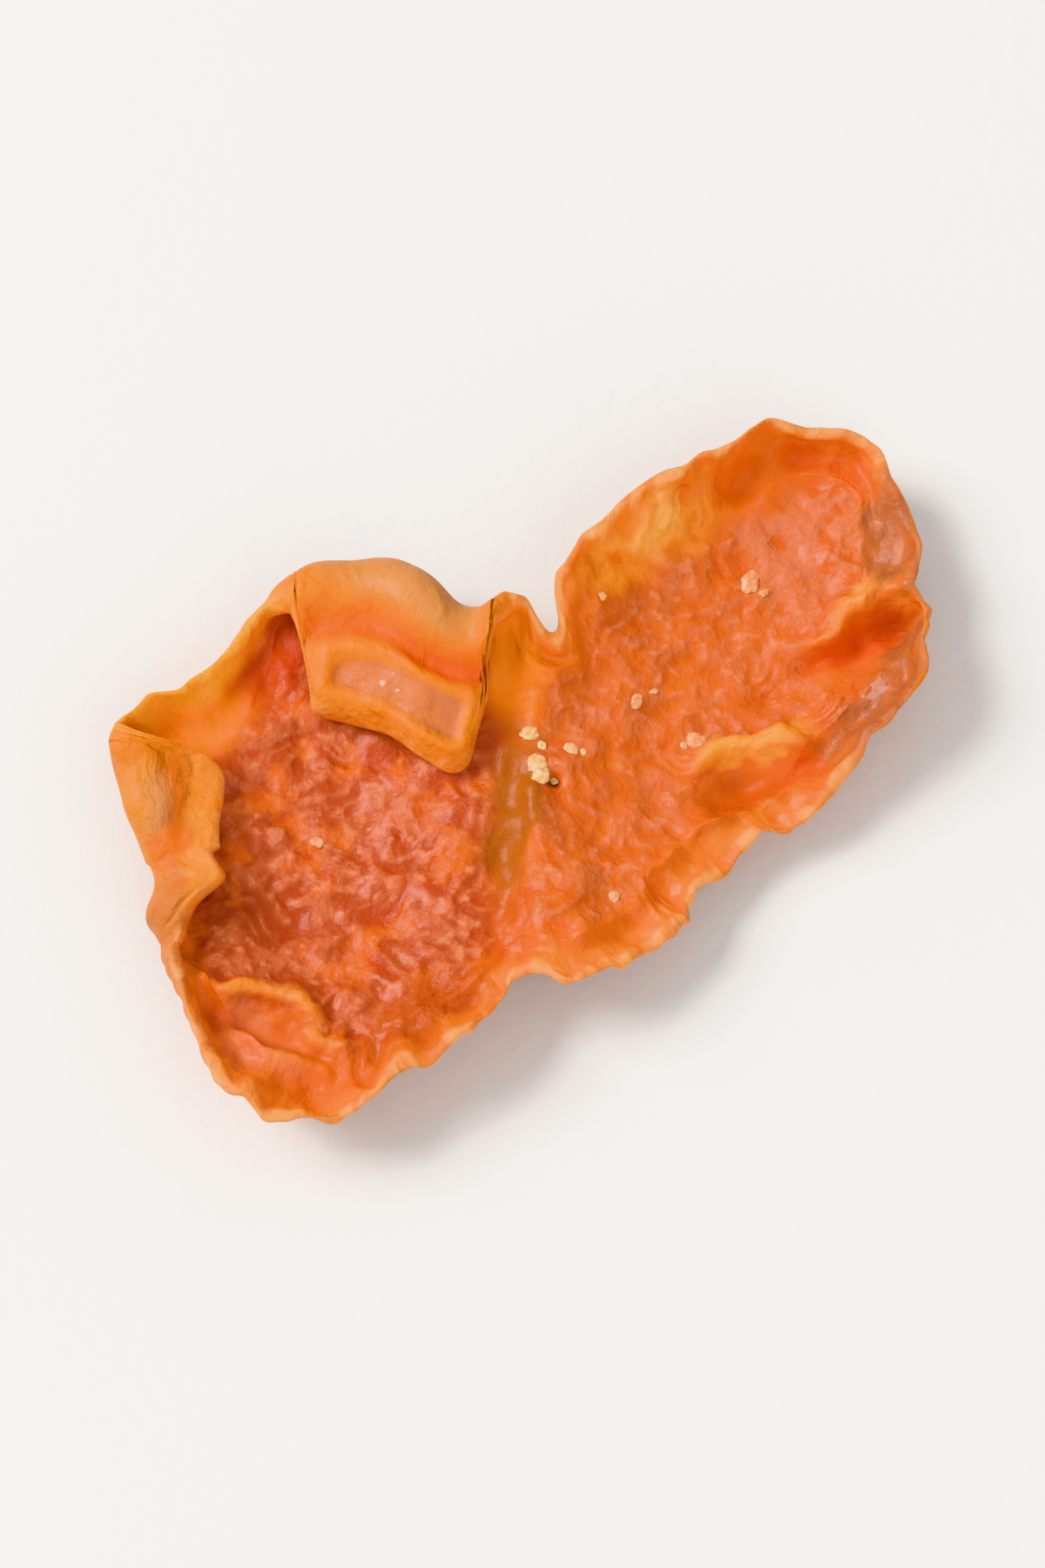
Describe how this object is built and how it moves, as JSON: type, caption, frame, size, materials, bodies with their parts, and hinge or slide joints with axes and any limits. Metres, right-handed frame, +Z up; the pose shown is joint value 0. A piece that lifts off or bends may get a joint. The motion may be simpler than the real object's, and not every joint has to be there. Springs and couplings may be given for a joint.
{
  "type": "dried apricot",
  "caption": "Dried apricot, stoned and opened out flat: two shallow cupped halves joined at the seam, cut side up, with a raised wavy rim that curls inwards.",
  "frame": {"origin": "on the resting plane, at the middle of the fruit's outline box", "axes": "+Z up, cut side up; +X towards the right-hand half; +Y away from the viewer"},
  "size_m": [0.0578, 0.0524, 0.0097],
  "materials": {
    "dried_flesh": "satin, slightly moist, translucent at the thin rim"
  },
  "bodies": {
    "root": {"dried_apricot": "dried_flesh"}
  },
  "joints": []
}
